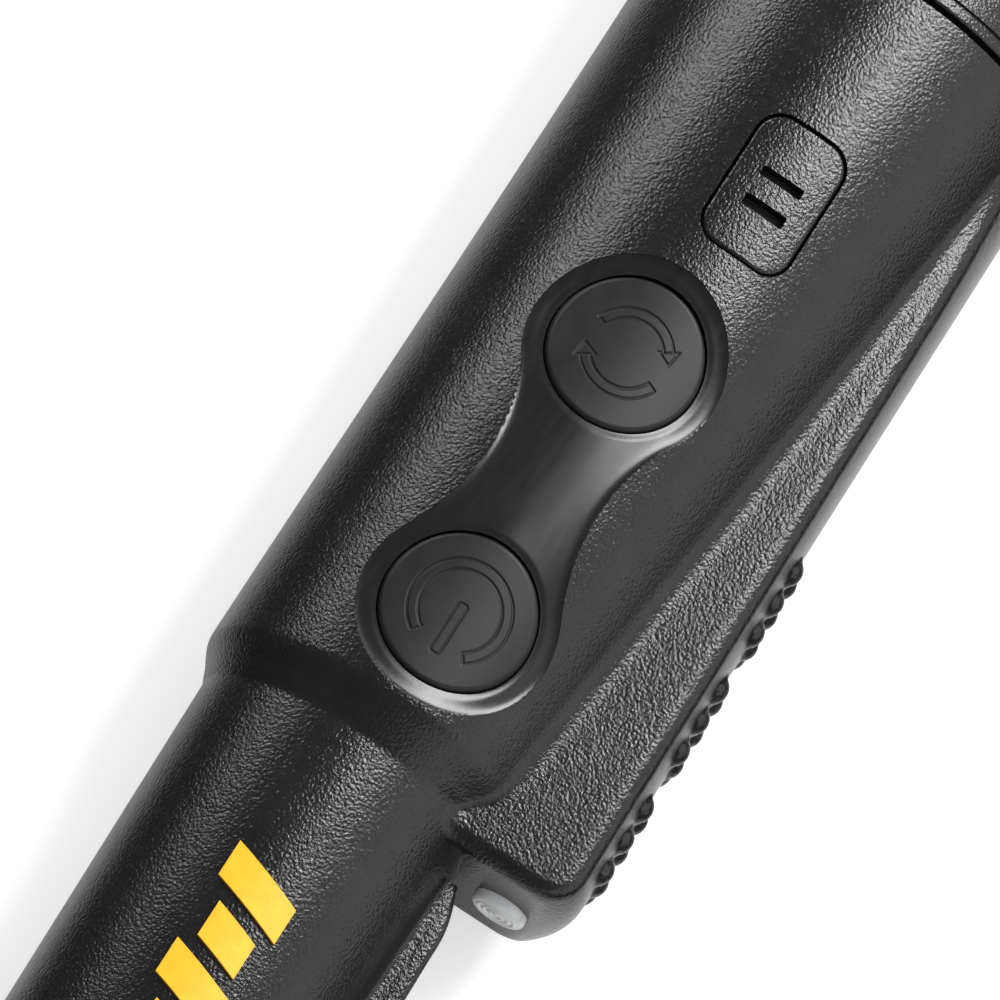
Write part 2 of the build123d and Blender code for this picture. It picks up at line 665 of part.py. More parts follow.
def leads():
    """Every pair of wires: the points it passes, its first and last directions, and its gap."""
    forward, back, up, down = (1, 0, 0), (-1, 0, 0), (0, 0, 1), (0, 0, -1)
    contacts_x = SLEEVE_END_X - 0.8
    speaker_end_x = SPEAKER_X + SPEAKER_L / 2
    wires = {
        "battery_leads": ([(contacts_x, 0, 1.6), (63.0, -1.0, 2.2), (64.5, -2.0, PCB_Z)], forward, up, 2.0),
        "speaker_leads": ([(speaker_end_x, -3.0, 10.35), (60.2, -5.0, 10.2), (64.5, -8.6, PCB_TOP)],
                          forward, down, 1.2),
        "coil_leads": ([(100.0, PROBE_Y, PCB_Z), (102.5, PROBE_Y, 2.5), (125, PROBE_Y, 4.5),
                        (COIL_X, PROBE_Y, 6.5)], down, forward, 2.0),
        "motor_leads": ([(MOTOR_X, MOTOR_Y, 1.3), (69.0, 10.0, 1.8), (67.0, 3.5, PCB_Z)], back, up, 1.2),
        "led_leads": ([(LED_X - 0.8, LED_Y, 0), (98.0, 10.0, 0.8), (95.6, 3.8, PCB_Z)], back, up, 1.2),
    }
    return {node: leads_pair(*wire) for node, wire in wires.items()}


def build():
    os.makedirs("parts", exist_ok=True)
    shell, outer_handle, lowered = shell_body()
    board_x = BATTERY_END_X + SNAP_L
    nodes = {
        "upper_shell": upper_shell(shell),
        "lower_shell": lower_shell(shell),
        "button_bezel": button_bezel(outer_handle, lowered),
        "speaker_cover": speaker_cover(outer_handle, lowered),
        "speaker_mesh": speaker_mesh(lowered),
        "depth_marks": depth_marks(),
        "power_button": power_button(outer_handle),
        "retune_button": retune_button(outer_handle),
        "keypad_seal": keypad_seal(),
        "power_switch_base": switch_base(POWER_X),
        "power_switch_plunger": switch_plunger(POWER_X),
        "retune_switch_base": switch_base(RETUNE_X),
        "retune_switch_plunger": switch_plunger(RETUNE_X),
        "battery_sleeve": battery_sleeve(),
        "battery_cap": battery_cap(),
        "cap_o_ring": Pos(RING_X, 0, 0) * Rot(0, 90, 0) * Torus(RING_R, 0.75),
        "cap_pad": rod(14.0, CAP_FLOOR_X, BATTERY_X),
        "battery_case": rounded_tube_x(BATTERY_W, BATTERY_H, 2.2, BATTERY_X, BATTERY_END_X),
        "battery_terminals": battery_terminals(),
        "contact_board": rounded_tube_x(SLEEVE_W - 1.3, SLEEVE_H - 1.3, 2.3, board_x, board_x + BOARD_T),
        "contact_snaps": contact_snaps(),
        "main_pcb": main_pcb(),
        "pcb_screws": pcb_screws(),
        "microcontroller": block(76.0, 79.5, -7.0, 0.0, PCB_Z - 1.6, PCB_Z),
        "pcb_capacitors": pcb_capacitors(),
        "pcb_chips": pcb_chips(),
        "pcb_passives": pcb_passives(),
        "speaker_frame": speaker_frame(),
        "speaker_diaphragm": speaker_diaphragm(),
        "speaker_magnet": speaker_magnet(),
        "motor_can": motor_can(),
        "motor_shaft": motor_shaft(),
        "motor_weight": motor_weight(),
        "ferrite_rod": rod(FERRITE_R, COIL_X - 8, COIL_END_X + 4, y=PROBE_Y),
        "coil_bobbin": coil_bobbin(),
        "transmit_winding": winding(6.6, COIL_X + RIM_T, COIL_MID_X),
        "receive_winding": winding(6.4, COIL_MID_X + RIM_T, COIL_END_X - RIM_T),
        "led": led_body(),
        "led_holder": led_holder(),
        "led_lens": led_lens(),
    }
    nodes.update(leads())
    for node, shape in nodes.items():
        write(node, shape)


build()
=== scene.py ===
import json
import math

import bmesh
import bpy
import numpy as np
from mathutils import Matrix, Vector


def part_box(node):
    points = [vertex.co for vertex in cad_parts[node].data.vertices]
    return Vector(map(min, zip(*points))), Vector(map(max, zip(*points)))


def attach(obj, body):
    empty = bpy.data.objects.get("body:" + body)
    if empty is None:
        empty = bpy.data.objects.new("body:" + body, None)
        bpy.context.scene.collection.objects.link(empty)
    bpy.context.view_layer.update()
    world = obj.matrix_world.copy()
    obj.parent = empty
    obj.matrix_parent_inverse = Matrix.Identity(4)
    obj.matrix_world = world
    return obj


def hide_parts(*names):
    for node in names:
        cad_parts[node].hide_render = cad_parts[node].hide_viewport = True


# Looks for the pinpointer probe. Lengths in the form functions are millimetres in the part's frame:
# +X to the probe's tip, +Y to the finger keel, +Z up through the buttons.
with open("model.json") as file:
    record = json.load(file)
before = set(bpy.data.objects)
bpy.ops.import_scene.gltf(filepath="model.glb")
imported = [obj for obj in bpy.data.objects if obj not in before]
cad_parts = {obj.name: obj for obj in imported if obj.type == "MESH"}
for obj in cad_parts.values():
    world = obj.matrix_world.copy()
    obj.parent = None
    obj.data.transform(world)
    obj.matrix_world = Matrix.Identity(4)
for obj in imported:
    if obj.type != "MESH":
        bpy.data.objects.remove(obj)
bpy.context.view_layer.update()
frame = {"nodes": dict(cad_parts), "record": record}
NODES = frame["nodes"]
MM = 0.001


def box_mm(node):
    low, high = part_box(node)
    return np.array(low) / MM, np.array(high) / MM


# ---- Places and sizes that come from the frame ----------------------------------------------
SHELL_LOW, SHELL_HIGH = box_mm("upper_shell")
CAP_LOW, CAP_HIGH = box_mm("battery_cap")
LENS_LOW, LENS_HIGH = box_mm("led_lens")
COVER_LOW, COVER_HIGH = box_mm("speaker_cover")
POWER_LOW, POWER_HIGH = box_mm("power_button")
RETUNE_LOW, RETUNE_HIGH = box_mm("retune_button")
BEZEL_LOW, BEZEL_HIGH = box_mm("button_bezel")

REAR_X = SHELL_LOW[0]
TIP_X = SHELL_HIGH[0]
KEY_R = (POWER_HIGH[0] - POWER_LOW[0]) / 2
POWER_X = (POWER_HIGH[0] + POWER_LOW[0]) / 2
RETUNE_X = (RETUNE_HIGH[0] + RETUNE_LOW[0]) / 2
KEY_Y = (POWER_HIGH[1] + POWER_LOW[1]) / 2
KEY_HOLE_R = KEY_R + 0.15
BEZEL_R = (BEZEL_HIGH[1] - BEZEL_LOW[1]) / 2
COVER_X = (COVER_HIGH[0] + COVER_LOW[0]) / 2
COVER_Y = (COVER_HIGH[1] + COVER_LOW[1]) / 2
COVER_L = COVER_HIGH[0] - COVER_LOW[0]
COVER_W = COVER_HIGH[1] - COVER_LOW[1]
LED_Y = (LENS_HIGH[1] + LENS_LOW[1]) / 2
LENS_R = (LENS_HIGH[1] - LENS_LOW[1]) / 2
TIP_START_X = TIP_X - 11.0

# ---- Other sizes, in millimetres --------------------------------------------------------------
GRIP_R = 20.0             # round rear of the handle, and the reach of the keel
BARREL_TAPER = 0.053      # radius lost per millimetre of length
NOSE_X = 110.8            # flat front face of the keel
NOSE_CORNER_R = 3.5
NOSE_EDGE_R = 1.6
KEEL_HALF_REAR = 10.8
KEEL_TAPER = 0.0195       # half height lost per millimetre of length
KEEL_EDGE_R = 1.05
CREASE_WIDTH = 1.3        # softness of the crease between barrel and keel
WALL = 2.2
PROBE_Y = -4.5
PROBE_START_X = 108.5
PROBE_R = 13.8
PROBE_TAPER = 0.0213
TIP_POWER = 2.3           # 2 would be an ellipse; more is blunter
RIB_START_X = 112.6       # soil rib down the probe
RIB_HALF = 4.0
BUMP_R = 1.6              # grip bumps on the keel, in groups of three rows
BUMP_SINK = 0.72
BUMP_GROUP_X = 72.0
BUMP_GROUP_STEP = 12.85
BUMP_STEP = 3.35
BUMP_ROWS = (-4.0, 0.0, 4.0)
BEZEL_WAIST = 5.5
KEY_SINK = 0.6            # how far a key's face lies below the barrel's surface
COVER_CORNER = 2.4
COVER_GAP = 0.22
FAR_OFF = 50.0            # stands for "not here" in a distance
CUT_SPAN = (5.0, 22.0)    # heights of a tool that cuts through the upper skin


# ---- The body's form as a distance function ---------------------------------------------------
def smooth_step(value):
    value = np.clip(value, 0.0, 1.0)
    return value * value * (3.0 - 2.0 * value)


def soft_union(a, b, width):
    blend = np.maximum(width - np.abs(a - b), 0.0) / width
    return np.minimum(a, b) - blend * blend * width / 4.0


def rounded_overlap(a, b, edge):
    """Overlap of two forms, with its edge rounded to this radius."""
    a = a + edge
    b = b + edge
    inside = np.minimum(np.maximum(a, b), 0.0)
    return inside + np.hypot(np.maximum(a, 0.0), np.maximum(b, 0.0)) - edge


def barrel_radius(x):
    return GRIP_R - BARREL_TAPER * (x - REAR_X)


def shoulder_radius(x):
    """The barrel's radius with the soft step down to the probe, under which it then ends."""
    step = 1.7 * smooth_step((x - 104.4) / 4.3)
    ending = 3.0 * smooth_step((x - 107.5) / 3.3)
    return barrel_radius(x) - step - ending


def probe_radius(x):
    return PROBE_R - PROBE_TAPER * (x - PROBE_START_X)


def keel_half_height(x):
    return KEEL_HALF_REAR - KEEL_TAPER * (x - REAR_X)


def keel_face_radius(x):
    """The keel's outer face is round at the cap and gets flatter forwards."""
    return GRIP_R + 8.0 * smooth_step((x - REAR_X) / 20.0)


def corner_loss(x, radius):
    """How far an edge of this radius has drawn in at x, towards the keel's front face."""
    into = np.clip(x - (NOSE_X - radius), 0.0, radius)
    return radius - np.sqrt(radius * radius - into * into)


def handle_distance(x, y, z):
    """A barrel softly joined to the finger keel, which ends in a flat nose."""
    barrel_y = barrel_radius(x) - GRIP_R
    barrel = np.hypot(y - barrel_y, z) - shoulder_radius(x)
    face_r = keel_face_radius(x)
    round_face = np.hypot(y - GRIP_R + face_r, z) - (face_r - corner_loss(x, NOSE_CORNER_R))
    flat_side = np.abs(z) - (keel_half_height(x) - corner_loss(x, NOSE_EDGE_R))
    keel = np.maximum(rounded_overlap(round_face, flat_side, KEEL_EDGE_R), -y)
    behind_nose = 1.0 - 0.6 * smooth_step((x - 100.0) / 9.0)
    width = 0.02 + CREASE_WIDTH * (1.0 - np.exp((26.0 - x) / 14.0)) * behind_nose
    return np.where(x > NOSE_X, FAR_OFF, soft_union(barrel, keel, width))


def tip_share(x):
    """Share of the probe's radius that is left at x, over the rounded tip."""
    into = np.clip((x - TIP_START_X) / (TIP_X - TIP_START_X), 0.0, 1.0)
    return (1.0 - into ** TIP_POWER) ** (1.0 / TIP_POWER)


def probe_distance(x, y, z):
    """The round probe with the straight soil rib on its keel side."""
    round_body = np.hypot(y - PROBE_Y, z) - probe_radius(x) * tip_share(x)
    start = np.clip((x - RIB_START_X) / 5.4, 0.0, 1.0)
    rib_top = 9.8 + 1.3 * np.sin(start * math.pi / 2) + 0.12 * smooth_step((x - 118.0) / 8.0)
    rib_top = rib_top - 9.0 * smooth_step((x - 216.0) / 15.0)
    rib_top = np.where(x < RIB_START_X, 2.0, rib_top)
    rib = rounded_overlap(y - rib_top, np.abs(z) - RIB_HALF, 0.6)
    rib = np.where(x > TIP_X - 4.0, FAR_OFF, np.maximum(rib, PROBE_Y - y))
    return soft_union(round_body, rib, 0.5)


def body_distance(x, y, z):
    handle = handle_distance(x, y, z)
    probe = probe_distance(x, y, z)
    return np.where(x > NOSE_X, probe, soft_union(handle, probe, 1.0))


def bump_height(x, y, z):
    """The rows of small grip bumps on the keel."""
    height = np.zeros_like(x)
    for group in range(3):
        for i in range(3):
            for row in BUMP_ROWS:
                bump_x = BUMP_GROUP_X + BUMP_GROUP_STEP * group + BUMP_STEP * i
                away = np.hypot(x - bump_x, z - row)
                dome = np.sqrt(np.maximum(BUMP_R ** 2 - away ** 2, 0.0)) - BUMP_SINK
                height = np.maximum(height, np.where(y > 8.0, dome, 0.0))
    return height


SPINE_Y = PROBE_Y     # every section of the body is seen whole from this line


def body_radius(x, angle, inset=0.0):
    """Distance from the spine line to the skin, at each x and angle."""
    cos, sin = np.cos(angle), np.sin(angle)
    near = np.full_like(x, 0.05)
    far = np.full_like(x, 26.0)
    for _ in range(34):
        middle = (near + far) / 2
        outside = body_distance(x, SPINE_Y + middle * cos, middle * sin) > 0
        far = np.where(outside, middle, far)
        near = np.where(outside, near, middle)
    radius = near - inset
    if inset == 0.0:
        radius = radius + bump_height(x, SPINE_Y + near * cos, near * sin)
    return np.maximum(radius, 0.05)


def barrel_top(x, y):
    """Height of the barrel's surface over x and y."""
    radius = shoulder_radius(x)
    off = y - (barrel_radius(x) - GRIP_R)
    return np.sqrt(np.maximum(radius * radius - off * off, 1.0))


# ---- Mesh helpers -------------------------------------------------------------------------------
def new_object(name, points, faces, smooth=True):
    mesh = bpy.data.meshes.new(name)
    mesh.from_pydata([tuple(p) for p in (np.asarray(points) * MM).tolist()], [], faces)
    mesh.validate()
    obj = bpy.data.objects.new(name, mesh)
    bpy.context.scene.collection.objects.link(obj)
    if smooth:
        mesh.shade_smooth()
    return obj


def grid_faces(rows, columns, closed=False, start=0):
    """Four-sided faces over a grid of points, joined end to end when closed."""
    faces = []
    wide = columns if closed else columns - 1
    for i in range(rows - 1):
        for j in range(wide):
            k = (j + 1) % columns
            a, b = start + i * columns, start + (i + 1) * columns
            faces.append((a + j, a + k, b + k, b + j))
    return faces


def plate(name, x_span, y_span, step, top, thickness):
    """A closed sheet over a rectangle, with top(x, y) as its upper face."""
    xs = np.linspace(*x_span, max(4, int((x_span[1] - x_span[0]) / step)))
    ys = np.linspace(*y_span, max(4, int((y_span[1] - y_span[0]) / step)))
    gx, gy = np.meshgrid(xs, ys, indexing="ij")
    gz = top(gx, gy)
    upper = np.stack([gx, gy, gz], -1).reshape(-1, 3)
    lower = upper - np.array([0.0, 0.0, thickness])
    n, m = gx.shape
    count = n * m
    faces = [tuple(reversed(f)) for f in grid_faces(n, m)]
    faces += grid_faces(n, m, start=count)
    border = [i * m for i in range(n)] + [(n - 1) * m + j for j in range(1, m)]
    border += [i * m + m - 1 for i in range(n - 2, -1, -1)] + [j for j in range(m - 2, 0, -1)]
    for a, b in zip(border, border[1:] + border[:1]):
        faces.append((b, a, a + count, b + count))
    return new_object(name, np.concatenate([upper, lower]), faces)


def prism(name, outline, z0, z1):
    """A closed upright prism over an outline of (x, y) points."""
    outline = np.asarray(outline)
    count = len(outline)
    low = np.column_stack([outline, np.full(count, z0)])
    high = np.column_stack([outline, np.full(count, z1)])
    faces = [tuple(range(count - 1, -1, -1)), tuple(range(count, 2 * count))]
    for i in range(count):
        k = (i + 1) % count
        faces.append((i, k, k + count, i + count))
    return new_object(name, np.concatenate([low, high]), faces, smooth=False)


def cut(target, tool, operation="DIFFERENCE"):
    """Applies an exact boolean and removes the tool."""
    modifier = target.modifiers.new("cut", "BOOLEAN")
    modifier.operation = operation
    modifier.solver = "EXACT"
    modifier.object = tool
    apply_modifiers(target)
    bpy.data.objects.remove(tool)


def apply_modifiers(obj):
    bpy.context.view_layer.update()
    depsgraph = bpy.context.evaluated_depsgraph_get()
    shaped = bpy.data.meshes.new_from_object(obj.evaluated_get(depsgraph))
    obj.modifiers.clear()
    obj.data = shaped


def shade_by_angle(obj, degrees=35.0):
    """Smooth faces with sharp edges kept where the surface turns more than this."""
    obj.data.shade_smooth()
    obj.data.set_sharp_from_angle(angle=math.radians(degrees))


def circle_outline(cx, cy, radius, count=128):
    turn = np.linspace(0.0, 2 * math.pi, count, endpoint=False)
    return np.column_stack([cx + radius * np.cos(turn), cy + radius * np.sin(turn)])


def rounded_rectangle(cx, cy, length, width, corner, count=12):
    points = []
    for sx, sy, start in ((1, 1, 0.0), (-1, 1, 90.0), (-1, -1, 180.0), (1, -1, 270.0)):
        for t in np.linspace(0.0, 90.0, count):
            a = math.radians(start + t)
            points.append((cx + sx * (length / 2 - corner) + corner * math.cos(a),
                           cy + sy * (width / 2 - corner) + corner * math.sin(a)))
    return np.array(points)


def rectangle_inside(x, y, cx, cy, length, width, corner):
    """Depth inside a rounded rectangle, negative outside."""
    dx = np.abs(x - cx) - length / 2 + corner
    dy = np.abs(y - cy) - width / 2 + corner
    outside = np.hypot(np.maximum(dx, 0.0), np.maximum(dy, 0.0))
    return corner - outside - np.minimum(np.maximum(dx, dy), 0.0)


# ---- The peanut outline round the buttons -------------------------------------------------------
HALF_GAP = (POWER_X - RETUNE_X) / 2
MID_X = (POWER_X + RETUNE_X) / 2


def waist_centre(key_r, waist):
    bow = (HALF_GAP ** 2 + waist ** 2 - key_r ** 2) / (2 * (key_r - waist))
    return waist + bow, bow


def peanut_inside(x, y, key_r=BEZEL_R, waist=BEZEL_WAIST):
    """Depth inside the peanut outline, negative outside."""
    centre, bow = waist_centre(key_r, waist)
    u, v = np.abs(x - MID_X), np.abs(y - KEY_Y)
    ends = key_r - np.hypot(u - HALF_GAP, v)
    line_x = HALF_GAP * (1 - v / centre)
    middle = np.hypot(u, v - centre) - bow
    return np.where(u < np.maximum(line_x, 0.0), middle, ends)


def peanut_outline(key_r, waist, count=60):
    centre, bow = waist_centre(key_r, waist)
    reach = math.atan2(centre, HALF_GAP)
    points = []
    for side in (1, -1):
        for t in np.linspace(-(math.pi - reach), math.pi - reach, count):
            a = t if side > 0 else t + math.pi
            points.append((MID_X + side * HALF_GAP + key_r * math.cos(a), KEY_Y + key_r * math.sin(a)))
        lean = math.pi / 2 - reach
        for t in np.linspace(-lean, lean, count // 2)[1:-1]:
            points.append((MID_X - side * bow * math.sin(t), KEY_Y + side * (centre - bow * math.cos(t))))
    return np.array(points)


# ---- Materials ----------------------------------------------------------------------------------
class Nodes:
    """Short calls for building a node material."""

    def __init__(self, name):
        self.material = bpy.data.materials.new(name)
        self.material.use_nodes = True
        self.tree = self.material.node_tree
        self.shader = self.tree.nodes["Principled BSDF"]
        self.place = self.add("ShaderNodeTexCoord").outputs["Object"]

    def add(self, kind, **values):
        node = self.tree.nodes.new(kind)
        for key, value in values.items():
            setattr(node, key, value)
        return node

    def link(self, source, target):
        self.tree.links.new(source, target)

    def noise(self, per_mm, detail=3.0, rough=0.5, stretch=None):
        node = self.add("ShaderNodeTexNoise")
        node.inputs["Scale"].default_value = per_mm / MM
        node.inputs["Detail"].default_value = detail
        node.inputs["Roughness"].default_value = rough
        self.link(self.stretched(stretch), node.inputs["Vector"])
        return node.outputs["Fac"]

    def stretched(self, stretch):
        if stretch is None:
            return self.place
        node = self.add("ShaderNodeMapping")
        node.inputs["Scale"].default_value = stretch
        self.link(self.place, node.inputs["Vector"])
        return node.outputs["Vector"]

    def cells(self, per_mm, feature="F1", smooth=None):
        node = self.add("ShaderNodeTexVoronoi", feature=feature)
        node.inputs["Scale"].default_value = per_mm / MM
        if smooth is not None:
            node.inputs["Smoothness"].default_value = smooth
        self.link(self.place, node.inputs["Vector"])
        return node.outputs["Distance"]

    def math(self, operation, a, b=0.0):
        node = self.add("ShaderNodeMath", operation=operation)
        for socket, value in zip(node.inputs, (a, b)):
            if isinstance(value, (int, float)):
                socket.default_value = value
            else:
                self.link(value, socket)
        return node.outputs[0]

    def ramp(self, factor, stops):
        node = self.add("ShaderNodeValToRGB")
        ramp = node.color_ramp
        while len(ramp.elements) < len(stops):
            ramp.elements.new(0.5)
        for element, (place, colour) in zip(ramp.elements, stops):
            element.position = place
            element.color = (*colour, 1.0) if len(colour) == 3 else colour
        self.link(factor, node.inputs["Fac"])
        return node.outputs["Color"]

    def spread(self, factor, low, high):
        node = self.add("ShaderNodeMapRange")
        node.inputs["To Min"].default_value = low
        node.inputs["To Max"].default_value = high
        self.link(factor, node.inputs["Value"])
        return node.outputs["Result"]

    def bump(self, height, strength, distance_mm, below=None):
        node = self.add("ShaderNodeBump")
        node.inputs["Strength"].default_value = strength
        node.inputs["Distance"].default_value = distance_mm * MM
        self.link(height, node.inputs["Height"])
        if below is not None:
            self.link(below, node.inputs["Normal"])
        return node.outputs["Normal"]

    def finish(self, colour, roughness, normal=None, metallic=0.0):
        for name, value in (("Base Color", colour), ("Roughness", roughness), ("Normal", normal),
                            ("Metallic", metallic)):
            if value is None:
                continue
            socket = self.shader.inputs[name]
            if isinstance(value, (int, float)):
                socket.default_value = value
            else:
                self.link(value, socket)
        return self.material


def textured_plastic(name="textured_plastic"):
    """Black moulded plastic with a fine leather-like spark-eroded grain."""
    m = Nodes(name)
    grain = m.noise(3.6, detail=2.0, rough=0.6)
    pebbles = m.cells(3.2, feature="SMOOTH_F1", smooth=0.5)
    height = m.math("ADD", m.math("MULTIPLY", pebbles, -0.8), m.math("MULTIPLY", grain, 1.5))
    tone = m.noise(0.25, detail=4.0)
    colour = m.ramp(tone, [(0.3, (0.0045, 0.0045, 0.005)), (0.7, (0.0075, 0.0075, 0.008))])
    rough = m.spread(m.noise(0.9, detail=3.0), 0.17, 0.25)
    m.shader.inputs["IOR"].default_value = 1.5
    return m.finish(colour, rough, m.bump(height, 1.0, 0.042))


def satin_plastic():
    """Smooth satin black moulding with faint scuffs and flow streaks."""
    m = Nodes("satin_plastic")
    fine = m.noise(9.0, detail=2.0)
    streaks = m.noise(1.2, detail=5.0, stretch=(0.25, 1.0, 1.0))
    colour = m.ramp(streaks, [(0.3, (0.005, 0.005, 0.0055)), (0.75, (0.008, 0.008, 0.0085))])
    rough = m.spread(streaks, 0.21, 0.29)
    return m.finish(colour, rough, m.bump(fine, 0.10, 0.03))


def key_rubber():
    """Matte charcoal silicone with fine mottling and a few specks of dust."""
    m = Nodes("key_rubber")
    mottled = m.noise(0.6, detail=5.0)
    dust = m.cells(0.55)
    specks = m.ramp(dust, [(0.0, (0.16, 0.16, 0.16)), (0.035, (0.0, 0.0, 0.0))])
    base = m.ramp(mottled, [(0.3, (0.006, 0.006, 0.0063)), (0.7, (0.009, 0.009, 0.0094))])
    mix = m.add("ShaderNodeMix", data_type="RGBA", blend_type="ADD")
    mix.inputs["Factor"].default_value = 0.55
    m.link(base, mix.inputs["A"])
    m.link(specks, mix.inputs["B"])
    rough = m.spread(mottled, 0.40, 0.50)
    m.shader.inputs["Specular IOR Level"].default_value = 0.32
    return m.finish(mix.outputs["Result"], rough, m.bump(m.noise(14.0, detail=2.0), 0.12, 0.03))


def mark_paint():
    m = Nodes("mark_paint")
    worn = m.noise(0.8, detail=5.0)
    colour = m.ramp(worn, [(0.3, (0.74, 0.37, 0.007)), (0.7, (0.80, 0.42, 0.010))])
    return m.finish(colour, m.spread(worn, 0.35, 0.5), m.bump(m.noise(3.5, detail=2.0), 0.3, 0.05))


def simple(name, dark, light, rough, grain_per_mm=3.0, bump=0.15, metallic=0.0, stretch=None):
    """A material with two mottled tones, uneven roughness and a fine bump."""
    m = Nodes(name)
    tone = m.noise(grain_per_mm / 4, detail=5.0, stretch=stretch)
    colour = m.ramp(tone, [(0.3, dark), (0.7, light)])
    fine = m.noise(grain_per_mm, detail=3.0, stretch=stretch)
    uneven = m.spread(tone, rough - 0.05, rough + 0.08)
    return m.finish(colour, uneven, m.bump(fine, bump, 0.05), metallic)


def clear_plastic():
    m = Nodes("clear_plastic")
    haze_and_painted_sheen = m.noise(1.5, detail=4.0)
    m.shader.inputs["Transmission Weight"].default_value = 0.3
    m.shader.inputs["IOR"].default_value = 1.49
    # Painted sheen: the near-white base, with only part of the light let through, brightens the lens
    # face, which lies in shade, to stand in for the real window's silvery shine.
    colour = m.ramp(haze_and_painted_sheen, [(0.3, (0.82, 0.84, 0.86)), (0.7, (0.95, 0.96, 0.97))])
    return m.finish(colour, m.spread(haze_and_painted_sheen, 0.06, 0.16), m.bump(m.noise(5.0), 0.05, 0.02))


def wound_copper():
    """Enamelled wire wound round the probe's axis."""
    m = Nodes("wound_copper")
    wave = m.add("ShaderNodeTexWave", wave_type="BANDS", bands_direction="X")
    wave.inputs["Scale"].default_value = 0.9 / MM
    wave.inputs["Distortion"].default_value = 0.15
    m.link(m.place, wave.inputs["Vector"])
    turns = wave.outputs["Fac"]
    colour = m.ramp(turns, [(0.0, (0.16, 0.045, 0.012)), (0.6, (0.60, 0.22, 0.07))])
    return m.finish(colour, m.spread(turns, 0.42, 0.28), m.bump(turns, 0.8, 0.15), metallic=0.85)


MATERIALS = {
    "body_plastic": textured_plastic(),
    "bezel_plastic": satin_plastic(),
    "key_rubber": key_rubber(),
    "mark_paint": mark_paint(),
    "clear_lens": clear_plastic(),
    "seal_rubber": simple("seal_rubber", (0.008, 0.008, 0.008), (0.018, 0.018, 0.018), 0.5),
    "foam": simple("foam", (0.03, 0.03, 0.033), (0.07, 0.07, 0.075), 0.9, 1.5, 0.9),
    "inner_plastic": simple("inner_plastic", (0.02, 0.02, 0.022), (0.035, 0.035, 0.038), 0.45),
    "natural_plastic": simple("natural_plastic", (0.55, 0.53, 0.47), (0.68, 0.66, 0.60), 0.4),
    "circuit_board": simple("circuit_board", (0.01, 0.09, 0.03), (0.02, 0.15, 0.05), 0.3, 2.0),
    "chip": simple("chip", (0.012, 0.012, 0.012), (0.022, 0.022, 0.022), 0.55, 6.0),
    "steel": simple("steel", (0.42, 0.42, 0.44), (0.62, 0.62, 0.64), 0.28, 5.0, 0.1, metallic=1.0,
                    stretch=(0.1, 1.0, 1.0)),
    "battery_jacket": simple("battery_jacket", (0.03, 0.04, 0.07), (0.05, 0.06, 0.10), 0.3, 1.0, 0.05,
                             metallic=0.6),
    "ferrite": simple("ferrite", (0.03, 0.03, 0.033), (0.06, 0.06, 0.065), 0.6, 4.0, 0.3),
    "copper": wound_copper(),
    "cable": simple("cable", (0.28, 0.01, 0.01), (0.38, 0.02, 0.02), 0.4),
    "fabric_mesh": simple("fabric_mesh", (0.004, 0.004, 0.004), (0.012, 0.012, 0.012), 0.8, 8.0, 0.8),
}


def give(obj, slot):
    obj.data.materials.clear()
    obj.data.materials.append(MATERIALS[slot])
    return obj


# ---- Shells -----------------------------------------------------------------------------------
def shell_stations():
    """Places along X for the body's rings, closer together at the shoulder, the nose and the tip."""
    runs = [(REAR_X, 70.0, 0.8), (70.0, 103.0, 0.4), (103.0, 107.2, 0.3), (107.2, NOSE_X - 0.4, 0.18)]
    xs = [np.arange(a, b, step) for a, b, step in runs]
    edge = 0.4 * np.sin(np.linspace(0.0, math.pi / 2, 9))
    xs.append(NOSE_X - 0.4 + edge)
    xs.append(np.arange(NOSE_X + 0.002, 112.58, 0.25))
    xs.append(np.array([112.598, 112.602]))
    xs.append(np.arange(112.8, 126.0, 0.3))
    xs.append(np.arange(126.0, TIP_START_X - 4.0, 0.9))
    xs.append(np.arange(TIP_START_X - 4.0, TIP_START_X, 0.5))
    xs.append(TIP_START_X + (TIP_X - TIP_START_X) * np.sin(np.linspace(0.0, math.pi / 2, 34)))
    return np.concatenate(xs)


def half_angles():
    """Ring angles from the keel's seam over the top to the far seam."""
    dense = np.radians(np.arange(0.0, 66.0, 0.75))
    wide = np.radians(np.linspace(66.0, 180.0, 96))
    return np.concatenate([dense, wide])


def shell_half(name, side):
    """One shell: outer skin, inner skin and the rims that join them."""
    xs, angles = shell_stations(), half_angles()
    if side < 0:
        angles = -angles[::-1]
    gx, ga = np.meshgrid(xs, angles, indexing="ij")
    outer_r = body_radius(gx, ga)
    inner_x = np.clip(gx, REAR_X, TIP_X - WALL)
    ahead = np.minimum(inner_x + WALL, TIP_X)
    inner_r = np.minimum(body_radius(inner_x, ga, WALL), body_radius(ahead, ga, WALL))
    inner_r = np.where(gx > TIP_X - WALL, 0.02, np.maximum(inner_r, 0.02))
    seam = 0.012 * side
    outer = np.stack([gx, SPINE_Y + outer_r * np.cos(ga), outer_r * np.sin(ga) + seam], -1)
    inner = np.stack([inner_x, SPINE_Y + inner_r * np.cos(ga), inner_r * np.sin(ga) + seam], -1)
    rows, columns = gx.shape
    count = rows * columns
    faces = [tuple(reversed(f)) for f in grid_faces(rows, columns)]
    faces += grid_faces(rows, columns, start=count)
    border = [i * columns for i in range(rows)] + [(rows - 1) * columns + j for j in range(1, columns)]
    border += [i * columns + columns - 1 for i in range(rows - 2, -1, -1)]
    border += [j for j in range(columns - 2, 0, -1)]
    for a, b in zip(border, border[1:] + border[:1]):
        faces.append((b, a, a + count, b + count))
    points = np.concatenate([outer.reshape(-1, 3), inner.reshape(-1, 3)])
    shell = new_object(name, points, faces)
    fix_mesh(shell)
    return shell


def fix_mesh(obj):
    """Merges points that fall together, and turns every face outwards."""
    work = bmesh.new()
    work.from_mesh(obj.data)
    bmesh.ops.remove_doubles(work, verts=work.verts, dist=0.002 * MM)
    bmesh.ops.recalc_face_normals(work, faces=work.faces)
    work.to_mesh(obj.data)
    work.free()


